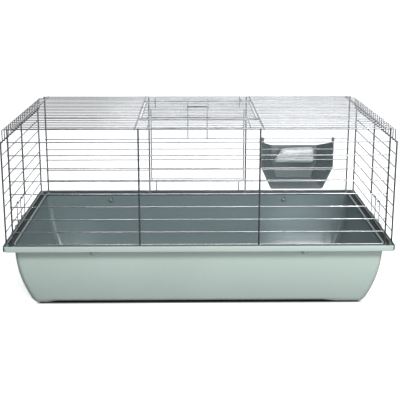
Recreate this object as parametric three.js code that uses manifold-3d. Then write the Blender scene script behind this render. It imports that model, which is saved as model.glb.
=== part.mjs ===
// Indoor rabbit cage: a moulded plastic tub under a collapsible wire top with a roof door,
// a far-side door, wire latches, end clips and a clip-on hay rack.
// Millimetres, +X along the cage, +Y away from the front, +Z up, origin under the tub's centre.
import * as THREE from 'three';
import { mergeVertices } from 'three/addons/utils/BufferGeometryUtils.js';
import Module from 'manifold-3d';

const wasm = await Module();
wasm.setup();

// Tub.
const RIM_LENGTH = 1000;
const RIM_DEPTH = 540;
const RIM_HEIGHT = 175;
const RIM_CORNER = 12;
const SKIRT_DROP = 15;
const LIP_WALL = 2.6;
const CHANNEL_DEPTH = 9;
const CHANNEL_INSET = 22;
const INNER_EDGE_DROP = 3;
const WALL = 2.3;
const WALL_TOP = RIM_HEIGHT - SKIRT_DROP - 2;
const WALL_TOP_INSET = 25;
const WALL_TAPER = 33.5;
const WALL_CURVE = 1.93;
const BODY_CORNER_TOP = 14;
const BODY_CORNER_GROWTH = 8;
const CORNER_STEPS = 5;

// Wire top.
const FRAME_WIRE = 2.0;
const LINE_WIRE = 1.25;
const WELD_BITE = 0.8;
const LEVELS = 10;
const LEVEL_PITCH = 33.2;
const FIRST_LEVEL = RIM_HEIGHT + 1.6;
const SIDE_PLANE = 259;
const END_PLANE = 490;
const PANEL_HALF = 476;
const OUTER_POST = 472;
const INNER_POST = 151;
const POST_OFFSET = FRAME_WIRE + LINE_WIRE - WELD_BITE;
const POST_FOOT = RIM_HEIGHT + 0.4;
const INNER_RIB = 160;
const OUTER_RIB = 460;
const ROOF_HALF_DEPTH = 250;
const ROOF_PITCH = 25;
const END_POST = 250;
const NODE_GAP = 0.4;
const WELD_PAST = 0.4;
const TIE_X = 130;
const TIE_OFFSET = 2 * LINE_WIRE - WELD_BITE;

// Wire loops that turn on another wire.
const LOOP_WIRE = 1.0;
const LOOP_RADIUS = LINE_WIRE + 0.35 + LOOP_WIRE;

// Doors, latches and clips.
const DOOR_WIRE = 1.5;
const DOOR_OFFSET = DOOR_WIRE + LINE_WIRE - WELD_BITE;
const BACK_DOOR_HALF = 144.5;
const ROOF_DOOR_HALF = 152;
const ROOF_HINGE_Y = -112;
const ROOF_LOCK_Y = 183;
const ROOF_LATCH_PIVOT_Y = 75;
const DOOR_EDGE_GAP = 5;
const LATCH_HALF = 30;
const LATCH_OFFSET = 3.3;
const CLIP_LEGS = [-100, -53, -6];
const CLIP_REACH = RIM_LENGTH / 2 + 2;
const CLIP_FOOT = RIM_HEIGHT - 11;

// Hay rack and its bag.
const RACK_X = 314;
const RACK_FRONT = SIDE_PLANE + LINE_WIRE + 0.35;
const RACK_BACK = 348;
const RACK_WALL = 2.2;
const RACK_HOOK_WIDTH = 8;
const BAG_X = 308;

const level = (index) => FIRST_LEVEL + index * LEVEL_PITCH;
const ROOF_Z = level(LEVELS - 1);
const ROOF_WIRE_Z = ROOF_Z - POST_OFFSET;
const END_TOP = level(LEVELS - 2);

const tubPlastic = () => new THREE.MeshStandardMaterial({ color: 0xb2c1ba, roughness: 0.4 });
const zincWire = () => new THREE.MeshStandardMaterial({ color: 0xc4c8cc, roughness: 0.25, metalness: 1 });
const rackPlastic = () => new THREE.MeshStandardMaterial({ color: 0x616b6d, roughness: 0.45 });
const bagFilm = () => new THREE.MeshStandardMaterial({ color: 0xe2e9e7, roughness: 0.3 });

// ---- solids ----

function toSolid(geometry) {
  const bare = geometry.index ? geometry.clone() : mergeVertices(geometry.clone());
  bare.deleteAttribute('normal');
  bare.deleteAttribute('uv');
  const merged = mergeVertices(bare, 1e-4);
  const mesh = new wasm.Mesh({
    numProp: 3,
    vertProperties: new Float32Array(merged.attributes.position.array),
    triVerts: new Uint32Array(merged.index.array),
  });
  return new wasm.Manifold(mesh);
}

function toGeometry(solid) {
  const mesh = solid.getMesh();
  const geometry = new THREE.BufferGeometry();
  geometry.setAttribute('position', new THREE.BufferAttribute(new Float32Array(mesh.vertProperties), 3));
  geometry.setIndex(new THREE.BufferAttribute(new Uint32Array(mesh.triVerts), 1));
  geometry.computeVertexNormals();
  return geometry;
}

function join(geometries) {
  const solids = geometries.map(toSolid);
  return toGeometry(solids.reduce((whole, next) => whole.add(next)));
}

// A straight wire between two points.
function wire(from, to, radius = LINE_WIRE) {
  const start = new THREE.Vector3(...from);
  const end = new THREE.Vector3(...to);
  const along = end.clone().sub(start);
  const sides = radius > LINE_WIRE ? 6 : 4;
  const geometry = new THREE.CylinderGeometry(radius, radius, along.length(), sides);
  const up = new THREE.Vector3(0, 1, 0);
  geometry.applyQuaternion(new THREE.Quaternion().setFromUnitVectors(up, along.normalize()));
  const middle = start.add(end).multiplyScalar(0.5);
  return geometry.translate(middle.x, middle.y, middle.z);
}

// A closed loop of wire round another wire that runs along X or Y.
function loop(centre, axis) {
  const geometry = new THREE.TorusGeometry(LOOP_RADIUS, LOOP_WIRE, 4, 8);
  if (axis === 'x') {
    geometry.rotateY(Math.PI / 2);
  } else {
    geometry.rotateX(Math.PI / 2);
  }
  return geometry.translate(...centre);
}

function range(first, last, step) {
  const count = Math.round((last - first) / step);
  return Array.from({ length: count + 1 }, (_, index) => first + index * step);
}

// ---- tub ----

function roundedRing(inset, height, corner) {
  const halfLength = RIM_LENGTH / 2 - inset;
  const halfDepth = RIM_DEPTH / 2 - inset;
  const points = [];
  for (let quarter = 0; quarter < 4; quarter += 1) {
    const signX = quarter === 0 || quarter === 3 ? 1 : -1;
    const signY = quarter < 2 ? 1 : -1;
    for (let step = 0; step <= CORNER_STEPS; step += 1) {
      const angle = (quarter + step / CORNER_STEPS) * Math.PI / 2;
      const x = signX * (halfLength - corner) + corner * Math.cos(angle);
      const y = signY * (halfDepth - corner) + corner * Math.sin(angle);
      points.push([x, y, height]);
    }
  }
  return points;
}

const wallBow = (height) => (1 - height / WALL_TOP) ** WALL_CURVE;
const wallInset = (height) => WALL_TOP_INSET + WALL_TAPER * wallBow(height);
const wallCorner = (height) => BODY_CORNER_TOP + BODY_CORNER_GROWTH * wallBow(height);

function tubRings() {
  const channelFloor = RIM_HEIGHT - CHANNEL_DEPTH;
  const innerEdge = RIM_HEIGHT - INNER_EDGE_DROP;
  const skirtFoot = RIM_HEIGHT - SKIRT_DROP;
  const stations = [12, 34, 60, 90, 124, WALL_TOP];
  const outside = stations.map((z) => roundedRing(wallInset(z), z, wallCorner(z)));
  const inside = stations.map((z) => roundedRing(wallInset(z) + WALL, z, wallCorner(z)));
  return [
    roundedRing(wallInset(0) + 5, 0, wallCorner(0)),
    roundedRing(wallInset(0), 3, wallCorner(0)),
    ...outside,
    roundedRing(WALL_TOP_INSET, channelFloor - WALL, BODY_CORNER_TOP),
    roundedRing(LIP_WALL, channelFloor - WALL, RIM_CORNER - LIP_WALL),
    roundedRing(LIP_WALL, skirtFoot, RIM_CORNER - LIP_WALL),
    roundedRing(0, skirtFoot, RIM_CORNER),
    roundedRing(0, RIM_HEIGHT - 1.5, RIM_CORNER),
    roundedRing(1, RIM_HEIGHT, RIM_CORNER - 1),
    roundedRing(LIP_WALL, RIM_HEIGHT - 0.5, RIM_CORNER - LIP_WALL),
    roundedRing(LIP_WALL + 1, channelFloor, RIM_CORNER - LIP_WALL),
    roundedRing(CHANNEL_INSET, channelFloor, RIM_CORNER - LIP_WALL),
    roundedRing(CHANNEL_INSET + 1, innerEdge - 1, RIM_CORNER),
    roundedRing(CHANNEL_INSET + 2.5, innerEdge, RIM_CORNER),
    roundedRing(WALL_TOP_INSET + WALL, innerEdge - 1.5, BODY_CORNER_TOP),
    ...inside.reverse(),
    roundedRing(wallInset(0) + 5, 5, wallCorner(0)),
    roundedRing(wallInset(0) + 12, WALL + 0.3, wallCorner(0)),
  ];
}

// Skins a stack of equal rings and closes its two ends with flat fans.
function skin(rings) {
  const size = rings[0].length;
  const positions = rings.flat(2);
  const faces = [];
  for (let row = 0; row + 1 < rings.length; row += 1) {
    for (let column = 0; column < size; column += 1) {
      const a = row * size + column;
      const b = row * size + (column + 1) % size;
      faces.push(a, b, b + size, a, b + size, a + size);
    }
  }
  const last = (rings.length - 1) * size;
  for (let column = 1; column + 1 < size; column += 1) {
    faces.push(0, column + 1, column);
    faces.push(last, last + column, last + column + 1);
  }
  const geometry = new THREE.BufferGeometry();
  geometry.setAttribute('position', new THREE.Float32BufferAttribute(positions, 3));
  geometry.setIndex(faces);
  geometry.computeVertexNormals();
  return geometry;
}

// ---- front and back panels: side is -1 at the front and 1 at the back ----

function panelWires(side, fromX, toX, levels) {
  return levels.map((index) => {
    const y = side * SIDE_PLANE;
    return wire([fromX, y, level(index)], [toX, y, level(index)]);
  });
}

function panelPost(side, x) {
  const y = side * (SIDE_PLANE + POST_OFFSET);
  return wire([x, y, POST_FOOT], [x, y, ROOF_Z + WELD_PAST], FRAME_WIRE);
}

const everyLevel = range(0, LEVELS - 1, 1);

function frontGrille() {
  const posts = [-OUTER_POST, -INNER_POST, INNER_POST, OUTER_POST].map((x) => panelPost(-1, x));
  return join([...panelWires(-1, -PANEL_HALF, PANEL_HALF, everyLevel), ...posts]);
}

function backBay(hand) {
  const inner = INNER_POST - FRAME_WIRE;
  const wires = panelWires(1, hand * inner, hand * PANEL_HALF, everyLevel);
  return join([...wires, panelPost(1, hand * INNER_POST), panelPost(1, hand * OUTER_POST)]);
}

// The short wires over and under the doorway, tied by two inside pickets.
function backStrip(low, high) {
  const half = INNER_POST - FRAME_WIRE - NODE_GAP;
  const wires = panelWires(1, -half, half, [low, high]);
  const picketY = SIDE_PLANE - TIE_OFFSET;
  const pickets = [-TIE_X, TIE_X].map((x) => (
    wire([x, picketY, level(low) - WELD_PAST], [x, picketY, level(high) + WELD_PAST])
  ));
  return join([...wires, ...pickets]);
}

// ---- end panels: hand is -1 on the left and 1 on the right ----

function endGrille(hand) {
  const x = hand * END_PLANE;
  const postX = hand * (END_PLANE + POST_OFFSET);
  const reach = END_POST + FRAME_WIRE + 1;
  const wires = range(0, LEVELS - 2, 1).map((index) => (
    wire([x, -reach, level(index)], [x, reach, level(index)])
  ));
  const posts = [-END_POST, END_POST].map((y) => (
    wire([postX, y, POST_FOOT], [postX, y, END_TOP + WELD_PAST], FRAME_WIRE)
  ));
  const middle = wire([postX, 0, level(2) - WELD_PAST], [postX, 0, END_TOP + WELD_PAST], FRAME_WIRE);
  return join([...wires, ...posts, middle]);
}

// A wire clip that turns on the end panel's third wire and reaches over the tub's rim.
function endClip(hand) {
  const pivot = [hand * END_PLANE, level(2)];
  const legX = hand * (END_PLANE + LATCH_OFFSET);
  const shoulder = RIM_HEIGHT + 7;
  const rimTop = RIM_HEIGHT + 1;
  const reach = hand * CLIP_REACH;
  const pieces = CLIP_LEGS.flatMap((y) => [
    loop([pivot[0], y, pivot[1]], 'y'),
    wire([legX, y, pivot[1]], [legX, y, shoulder]),
    wire([legX, y, shoulder + 0.8], [reach, y, rimTop - 0.4]),
    wire([reach, y, rimTop], [reach, y, CLIP_FOOT]),
  ]);
  const ends = [CLIP_LEGS[0], CLIP_LEGS.at(-1)];
  const foot = wire([reach, ends[0] - LINE_WIRE, CLIP_FOOT], [reach, ends[1] + LINE_WIRE, CLIP_FOOT]);
  return join([...pieces, foot]);
}

// ---- roof ----

const roofWires = (fromX, toX, depths) => depths.map((y) => (
  wire([fromX, y, ROOF_WIRE_Z], [toX, y, ROOF_WIRE_Z])
));

// A rib ends in a loop round the top wire of the front and back panels.
function rib(x) {
  const end = SIDE_PLANE - LOOP_RADIUS + 0.1;
  return [
    wire([x, -end, ROOF_Z], [x, end, ROOF_Z], FRAME_WIRE),
    loop([x, -SIDE_PLANE, ROOF_Z], 'x'),
    loop([x, SIDE_PLANE, ROOF_Z], 'x'),
  ];
}

function roofBay(hand) {
  const inner = hand * (INNER_RIB - FRAME_WIRE);
  const outer = hand * (END_PLANE - 2.6);
  const depths = range(-ROOF_HALF_DEPTH, ROOF_HALF_DEPTH, ROOF_PITCH);
  return join([...roofWires(inner, outer, depths), ...rib(hand * INNER_RIB), ...rib(hand * OUTER_RIB)]);
}

// The wires in front of and behind the roof door, tied from below by two cross wires.
function roofStrip(depths) {
  const half = INNER_RIB - FRAME_WIRE - NODE_GAP;
  const z = ROOF_WIRE_Z - TIE_OFFSET;
  const near = Math.min(...depths) - WELD_PAST;
  const far = Math.max(...depths) + WELD_PAST;
  const ties = [-TIE_X, TIE_X].map((x) => wire([x, near, z], [x, far, z]));
  return join([...roofWires(-half, half, depths), ...ties]);
}

// The roof wires turn down at each end under one edge wire and hook beside the end panel's top wire.
function roofHooks(hand) {
  const x = hand * (END_PLANE - 2 * LINE_WIRE - 0.05);
  const top = ROOF_WIRE_Z - 2 * LINE_WIRE - NODE_GAP;
  const drops = range(-ROOF_HALF_DEPTH, ROOF_HALF_DEPTH, ROOF_PITCH).map((y) => (
    wire([x, y, END_TOP - 2.5], [x, y, top], LOOP_WIRE)
  ));
  const edge = wire([x, -ROOF_HALF_DEPTH - 1, top], [x, ROOF_HALF_DEPTH + 1, top], LOOP_WIRE);
  return join([...drops, edge]);
}

// ---- doors and latches ----

function backDoor() {
  const lift = 1.5;
  const hinge = level(1);
  const top = level(LEVELS - 2) - DOOR_EDGE_GAP;
  const sideY = SIDE_PLANE + DOOR_OFFSET;
  const heights = [hinge + DOOR_EDGE_GAP, ...range(2, LEVELS - 3, 1).map((index) => level(index) + lift), top];
  const bars = heights.map((z) => wire([-BACK_DOOR_HALF, SIDE_PLANE, z], [BACK_DOOR_HALF, SIDE_PLANE, z]));
  const sides = [-BACK_DOOR_HALF, BACK_DOOR_HALF].flatMap((x) => [
    wire([x, sideY, hinge + 1.9], [x, sideY, top + LINE_WIRE], DOOR_WIRE),
    loop([x, SIDE_PLANE, hinge], 'x'),
  ]);
  return join([...bars, ...sides]);
}

function backDoorLatch() {
  const pivot = level(5) + 1.5;
  const legY = SIDE_PLANE + LATCH_OFFSET;
  const barY = SIDE_PLANE - 1;
  const barZ = level(LEVELS - 2) + 3;
  const legs = [-LATCH_HALF, LATCH_HALF].flatMap((x) => [
    loop([x, SIDE_PLANE, pivot], 'x'),
    wire([x, legY, pivot], [x, legY, barZ]),
    wire([x, legY + LINE_WIRE, barZ], [x, barY - LINE_WIRE, barZ]),
  ]);
  const reach = LATCH_HALF + LINE_WIRE;
  return join([...legs, wire([-reach, barY, barZ], [reach, barY, barZ])]);
}

function roofDoor() {
  const near = ROOF_HINGE_Y + DOOR_EDGE_GAP;
  const far = ROOF_LOCK_Y - DOOR_EDGE_GAP;
  const sideZ = ROOF_WIRE_Z + DOOR_OFFSET;
  const depths = [near, ...range(-75, 150, ROOF_PITCH), far];
  const bars = roofWires(-ROOF_DOOR_HALF, ROOF_DOOR_HALF, depths);
  const sides = [-ROOF_DOOR_HALF, ROOF_DOOR_HALF].flatMap((x) => [
    wire([x, ROOF_HINGE_Y + 1.9, sideZ], [x, far + LINE_WIRE, sideZ], DOOR_WIRE),
    loop([x, ROOF_HINGE_Y, ROOF_WIRE_Z], 'x'),
  ]);
  return join([...bars, ...sides]);
}

function roofDoorLatch() {
  const legZ = ROOF_WIRE_Z + LATCH_OFFSET;
  const barY = ROOF_LOCK_Y + 3.3;
  const barZ = ROOF_WIRE_Z - 1.4;
  const legs = [-LATCH_HALF, LATCH_HALF].flatMap((x) => [
    loop([x, ROOF_LATCH_PIVOT_Y, ROOF_WIRE_Z], 'x'),
    wire([x, ROOF_LATCH_PIVOT_Y, legZ], [x, barY, legZ]),
    wire([x, barY, legZ + LINE_WIRE], [x, barY, barZ - LINE_WIRE]),
  ]);
  const reach = LATCH_HALF + LINE_WIRE;
  return join([...legs, wire([-reach, barY, barZ], [reach, barY, barZ])]);
}

// ---- hay rack ----

// Six-sided outline of the rack at one depth: straight sides above a tapered foot.
function rackOutline(y, half, footHalf, foot, knee, top) {
  return [
    [RACK_X - half, y, knee],
    [RACK_X - half, y, top],
    [RACK_X + half, y, top],
    [RACK_X + half, y, knee],
    [RACK_X + footHalf, y, foot],
    [RACK_X - footHalf, y, foot],
  ];
}

function hook(x) {
  const wireZ = level(5);
  const outline = new THREE.Shape();
  const outer = RACK_FRONT + RACK_WALL;
  const inner = SIDE_PLANE - LINE_WIRE - 0.6;
  outline.moveTo(RACK_FRONT, wireZ - 20);
  outline.lineTo(outer, wireZ - 20);
  outline.lineTo(outer, wireZ + 4);
  outline.lineTo(inner - RACK_WALL, wireZ + 4);
  outline.lineTo(inner - RACK_WALL, wireZ - 8);
  outline.lineTo(inner, wireZ - 8);
  outline.lineTo(inner, wireZ + 1.8);
  outline.lineTo(RACK_FRONT, wireZ + 1.8);
  outline.closePath();
  const geometry = new THREE.ExtrudeGeometry(outline, { depth: RACK_HOOK_WIDTH, bevelEnabled: false });
  geometry.applyMatrix4(new THREE.Matrix4().set(0, 0, 1, 0, 1, 0, 0, 0, 0, 1, 0, 0, 0, 0, 0, 1));
  return geometry.translate(x, 0, 0);
}

function hayRack() {
  const w = RACK_WALL;
  const outer = skin([
    rackOutline(RACK_FRONT, 114, 82, 180, 250, 332),
    rackOutline(RACK_BACK, 76, 58, 196, 246, 304),
  ]);
  const inner = skin([
    rackOutline(RACK_FRONT - 5, 114 - w + 2, 82 - w + 1.5, 180 + w - 0.8, 250, 350),
    rackOutline(RACK_BACK - w, 76 - w + 1, 58 - w + 0.6, 196 + w, 246, 330),
  ]);
  const shell = toSolid(outer).subtract(toSolid(inner));
  const left = toSolid(hook(RACK_X - 114));
  const right = toSolid(hook(RACK_X + 114 - RACK_HOOK_WIDTH));
  return toGeometry(shell.add(left).add(right));
}

function accessoryBag() {
  const outline = new THREE.Shape();
  outline.absellipse(0, 0, 58, 18, 0, Math.PI * 2);
  const options = { depth: 24, bevelThickness: 9, bevelSize: 8, bevelSegments: 2, curveSegments: 7 };
  const geometry = new THREE.ExtrudeGeometry(outline, options);
  geometry.rotateX(Math.PI / 2);
  return toGeometry(toSolid(geometry.translate(BAG_X, 330, 278.5)));
}

// ---- assembly ----

const group = new THREE.Group();
group.name = 'rabbit_cage';

function place(name, geometry, material) {
  const mesh = new THREE.Mesh(geometry, material);
  mesh.name = name;
  group.add(mesh);
}

place('tub', skin(tubRings()), tubPlastic());
place('front_grille', frontGrille(), zincWire());
place('back_grille_left', backBay(-1), zincWire());
place('back_grille_right', backBay(1), zincWire());
place('back_strip_top', backStrip(8, 9), zincWire());
place('back_strip_bottom', backStrip(0, 1), zincWire());
place('end_grille_left', endGrille(-1), zincWire());
place('end_grille_right', endGrille(1), zincWire());
place('end_clip_left', endClip(-1), zincWire());
place('end_clip_right', endClip(1), zincWire());
place('roof_grille_left', roofBay(-1), zincWire());
place('roof_grille_right', roofBay(1), zincWire());
place('roof_strip_front', roofStrip([...range(-250, -125, ROOF_PITCH), ROOF_HINGE_Y]), zincWire());
place('roof_strip_back', roofStrip([ROOF_LOCK_Y, ...range(200, 250, ROOF_PITCH)]), zincWire());
place('roof_hooks_left', roofHooks(-1), zincWire());
place('roof_hooks_right', roofHooks(1), zincWire());
place('roof_door', roofDoor(), zincWire());
place('roof_door_latch', roofDoorLatch(), zincWire());
place('back_door', backDoor(), zincWire());
place('back_door_latch', backDoorLatch(), zincWire());
place('hay_rack', hayRack(), rackPlastic());
place('accessory_bag', accessoryBag(), bagFilm());

export default group;
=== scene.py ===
# %% [markdown]
# # An indoor rabbit cage
# A moulded plastic tub carries a folding top of spot-welded zinc wire. The top has a door in its roof
# and one in its far panel, a bent wire clip at each end, and a plastic hay rack hung on its far side.
# The cage was measured and packed beforehand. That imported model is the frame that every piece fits.

# %% Load the measured cage
import math
import bmesh
import bpy
from mathutils import Matrix, Vector


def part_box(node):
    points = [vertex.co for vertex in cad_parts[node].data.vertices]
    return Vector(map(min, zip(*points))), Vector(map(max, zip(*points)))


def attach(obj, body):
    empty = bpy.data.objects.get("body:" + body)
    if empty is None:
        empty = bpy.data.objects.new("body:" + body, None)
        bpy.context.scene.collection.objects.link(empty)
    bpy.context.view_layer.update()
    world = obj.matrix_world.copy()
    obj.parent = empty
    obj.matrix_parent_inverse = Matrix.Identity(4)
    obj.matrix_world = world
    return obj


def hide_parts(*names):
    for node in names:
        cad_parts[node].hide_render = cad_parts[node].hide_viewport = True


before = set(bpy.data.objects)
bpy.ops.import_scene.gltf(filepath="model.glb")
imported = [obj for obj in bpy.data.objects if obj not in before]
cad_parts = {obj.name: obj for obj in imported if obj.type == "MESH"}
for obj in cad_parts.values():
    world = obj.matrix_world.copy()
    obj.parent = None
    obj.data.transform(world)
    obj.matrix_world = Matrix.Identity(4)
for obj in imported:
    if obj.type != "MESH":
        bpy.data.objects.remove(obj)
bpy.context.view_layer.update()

# %% [markdown]
# Camera first. It stands a little above the rim and looks down by 13 degrees, as a person does
# who sits on the floor in front of the cage. The frame is shifted a little instead of tilting
# the camera more, which keeps the posts upright.

# %% Camera
eye = bpy.data.cameras.new("eye")
eye.lens = 72.5
eye.sensor_width = 36
eye.shift_y = -0.10
camera = bpy.data.objects.new("camera", eye)
camera.location = (-0.0215, -2.2065, 0.855)
camera.rotation_euler = (math.radians(76.77), 0, math.radians(-0.68))
bpy.context.collection.objects.link(camera)
bpy.context.scene.camera = camera
bpy.context.scene.view_settings.view_transform = "Standard"
print("camera", tuple(round(value, 3) for value in camera.location))

# %% [markdown]
# ## Shader maths
# A material is a small sum over patterns. Written as sums in Python, it stays readable: this class
# holds one output of a node, and each + or * on it adds the Math node that does the same.

# %% One output of a node, used like a number
class Pin:
    def __init__(self, recipe, socket):
        self.recipe = recipe
        self.socket = socket

    def maths(self, operation, first, second):
        return self.recipe.node("ShaderNodeMath", {"operation": operation}, {0: first, 1: second})

    def __add__(self, other):
        return self.maths("ADD", self, other)

    def __sub__(self, other):
        return self.maths("SUBTRACT", self, other)

    def __rsub__(self, other):
        return self.maths("SUBTRACT", other, self)

    def __mul__(self, other):
        return self.maths("MULTIPLY", self, other)

    __radd__ = __add__
    __rmul__ = __mul__


# %% One material's recipe
class Recipe:
    def __init__(self, name):
        self.material = bpy.data.materials.new(name)
        self.material.use_nodes = True
        self.tree = self.material.node_tree
        self.shader = self.tree.nodes["Principled BSDF"]
        self.places = self.node("ShaderNodeTexCoord", {}, {}, "Object")

    def feed(self, socket, value):
        if isinstance(value, Pin):
            self.tree.links.new(value.socket, socket)
        else:
            socket.default_value = value

    def node(self, kind, settings, inputs, output=0):
        added = self.tree.nodes.new(kind)
        for name, value in settings.items():
            setattr(added, name, value)
        for name, value in inputs.items():
            self.feed(added.inputs[name], value)
        return Pin(self, added.outputs[output])

    def set(self, **values):
        for name, value in values.items():
            self.feed(self.shader.inputs[name.replace("_", " ")], value)


# %% Patterns that several finishes share
def stretched(recipe, scale):
    return recipe.node("ShaderNodeMapping", {}, {"Vector": recipe.places, "Scale": scale})


def cloud(recipe, scale, detail=4.0, places=None, rough=0.55):
    inputs = {"Vector": places or recipe.places, "Scale": scale, "Detail": detail, "Roughness": rough}
    return recipe.node("ShaderNodeTexNoise", {}, inputs)


def band(recipe, value, low, high):
    inputs = {"Value": value, "From Min": low, "From Max": high}
    return recipe.node("ShaderNodeMapRange", {"interpolation_type": "SMOOTHSTEP"}, inputs)


def blend(recipe, amount, first, second):
    return recipe.node("ShaderNodeMix", {"data_type": "RGBA"}, {0: amount, 6: first, 7: second}, 2)


def raised(recipe, height, strength, distance):
    inputs = {"Height": height, "Strength": strength, "Distance": distance}
    return recipe.node("ShaderNodeBump", {}, inputs)


def along(recipe, axis):
    return recipe.node("ShaderNodeSeparateXYZ", {}, {0: recipe.places}, axis)


def apart(recipe, axis):
    return recipe.node("ShaderNodeMath", {"operation": "ABSOLUTE"}, {0: along(recipe, axis)})


print("patterns: cloud, band, blend, raised, along, apart")

# %% [markdown]
# ## The studio
# Bright wire is a mirror, so it looks like wire only when it has something dark to reflect. The world
# is white overhead and straight behind the cage, with two tall white panels either side of the
# camera. Between and beside them it is dark, so wires go from dark in the middle to light at both
# ends. Four soft boxes do the lighting: one overhead, two in front and one on the right.

# %% Room
studio = bpy.data.worlds.new("studio")
studio.use_nodes = True
bpy.context.scene.world = studio


class Room(Recipe):
    def __init__(self, world):
        self.tree = world.node_tree
        self.shader = self.tree.nodes["Background"]
        self.places = self.node("ShaderNodeTexCoord", {}, {}, "Generated")


room = Room(studio)
sideways = apart(room, "X")
ahead = band(room, 0 - along(room, "Y"), 0.20, 0.60)
panels = band(room, sideways, 0.10, 0.36) * (1 - band(room, sideways, 0.62, 0.86))
above = band(room, along(room, "Z"), 0.62, 0.95)
behind = band(room, along(room, "Y"), 0.80, 0.93)
lit = room.node("ShaderNodeMath", {"operation": "MAXIMUM"}, {0: above, 1: behind})
lit = room.node("ShaderNodeMath", {"operation": "MAXIMUM"}, {0: lit, 1: ahead * panels})
below = 1 - band(room, along(room, "Z"), -0.06, 0.0)
air = blend(room, lit, (0.03, 0.032, 0.036, 1), (1.0, 1.02, 1.04, 1))
room.set(Color=blend(room, below, air, (0.22, 0.225, 0.23, 1)), Strength=0.85)
print("room of", len(studio.node_tree.nodes), "nodes")

# %% Soft boxes
def hang(name, lamp, place, aim, watts):
    lamp.energy = watts
    holder = bpy.data.objects.new(name, lamp)
    holder.location = place
    holder.rotation_euler = (Vector(aim) - Vector(place)).to_track_quat("-Z", "Y").to_euler()
    bpy.context.collection.objects.link(holder)


def soft_box(name, place, aim, width, height, watts):
    lamp = bpy.data.lights.new(name, "AREA")
    lamp.shape = "RECTANGLE"
    lamp.size = width
    lamp.size_y = height
    hang(name, lamp, place, aim, watts)


soft_box("overhead", (0.1, 0.1, 2.6), (0, 0, 0.2), 2.4, 1.0, 12)
soft_box("front_high", (0.5, -2.2, 2.1), (0.1, 0, 0.12), 2.4, 0.6, 74)
soft_box("front_low", (0.9, -2.8, 0.45), (0.1, 0, 0.08), 1.6, 0.6, 24)
soft_box("front_right", (2.3, -1.9, 0.9), (0.3, 0, 0.1), 0.7, 1.2, 12)
print("four soft boxes")

# %% [markdown]
# Two narrow spots reach in over the near rim. Each leaves a soft patch of light low on the far inner
# wall, where the soft boxes don't reach.

# %% Snooted spots on the far wall
def snooted(name, place, aim, degrees, watts):
    lamp = bpy.data.lights.new(name, "SPOT")
    lamp.spot_size = math.radians(degrees)
    lamp.spot_blend = 1.0
    lamp.shadow_soft_size = 0.03
    hang(name, lamp, place, aim, watts)


snooted("spot_right", (0.75, -2.2, 1.3), (0.322, 0.215, 0.07), 5.6, 125)
snooted("spot_left", (-0.75, -2.2, 1.3), (-0.375, 0.215, 0.065), 3.2, 34)
print("two spots")

# %% [markdown]
# ## The finishes
# The tub is injection-moulded polypropylene with a satin skin. Outside it is a pale sage grey. It has
# soft clouding where the melt flowed, faint upright draw marks from leaving the mould, and a
# little scuffing where it is set down. Its lip is painted a shade darker, as painted shade that tones
# down its brightly lit face. Inside, the same wall is a darker, shinier grey, and the channel of the
# rim is painted near black, as the shade in that recess.

# %% Tub plastic, outside
def tub_outside():
    recipe = Recipe("sage_plastic")
    height = along(recipe, "Z")
    flow = cloud(recipe, 3.2, 3.0)
    draw = cloud(recipe, 1.0, 3.0, stretched(recipe, (90, 90, 2.5)))
    grain = cloud(recipe, 900, 2.0)
    speck = cloud(recipe, 160, 2.0)
    foot = 1 - band(recipe, height, 0.0, 0.02)
    scuffs = band(recipe, speck, 0.60, 0.72) * foot
    patches = band(recipe, flow, 0.3, 0.7)
    # Painted shade: the lip face, the same plastic as the wall, is darkened to tone down its light.
    lip = band(recipe, height, 0.1585, 0.1605)
    tone = blend(recipe, patches, (0.395, 0.480, 0.440, 1), (0.425, 0.512, 0.472, 1))
    tone = blend(recipe, band(recipe, draw, 0.5, 0.8) * 0.25, tone, (0.455, 0.54, 0.50, 1))
    tone = blend(recipe, lip * 0.6, tone, (0.31, 0.375, 0.348, 1))
    tone = blend(recipe, scuffs * 0.6, tone, (0.24, 0.27, 0.26, 1))
    recipe.set(Base_Color=tone, Roughness=0.36 + draw * 0.08 + scuffs * 0.25 + speck * 0.05)
    recipe.set(Normal=raised(recipe, grain * 0.5 + draw * 0.5, 0.22, 0.0002), Specular_IOR_Level=0.45)
    return recipe.material


sage_plastic = tub_outside()
print(sage_plastic.name, len(sage_plastic.node_tree.nodes), "nodes")

# %% Tub plastic, inside
def tub_inside():
    recipe = Recipe("inner_plastic")
    height = along(recipe, "Z")
    flow = cloud(recipe, 4.0, 3.0)
    draw = cloud(recipe, 1.0, 3.0, stretched(recipe, (70, 70, 2.0)))
    scratch = cloud(recipe, 1.0, 6.0, stretched(recipe, (30, 420, 420)), 0.7)
    grain = cloud(recipe, 700, 2.0)
    low = 1 - band(recipe, height, 0.01, 0.11)
    lines = band(recipe, scratch, 0.62, 0.70) * low
    patches = band(recipe, flow, 0.3, 0.7)
    # Painted shade: the rim's channel is darkened to near black, as the shade in that recess.
    shaded_channel = band(recipe, height, 0.1645, 0.1650) * (1 - band(recipe, height, 0.1675, 0.1715))
    tone = blend(recipe, patches, (0.150, 0.196, 0.202, 1), (0.158, 0.205, 0.210, 1))
    tone = blend(recipe, lines * 0.25, tone, (0.22, 0.26, 0.27, 1))
    tone = blend(recipe, shaded_channel * 0.95, tone, (0.014, 0.016, 0.016, 1))
    recipe.set(Base_Color=tone, Roughness=0.20 + flow * 0.08 + lines * 0.2 + shaded_channel * 0.5)
    recipe.set(Normal=raised(recipe, grain * 0.5 + draw * 0.5, 0.10, 0.0001), Specular_IOR_Level=0.6)
    return recipe.material


inner_plastic = tub_inside()
print(inner_plastic.name, len(inner_plastic.node_tree.nodes), "nodes")

# %% [markdown]
# The wire is drawn steel with a bright zinc plate. Zinc settles in small patches that are a little
# lighter or darker, drawing leaves hair lines, and a spot weld burns the plate dull. The wire is
# only a few millimetres thick, so the patterns are fine and the bump is slight.

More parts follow.
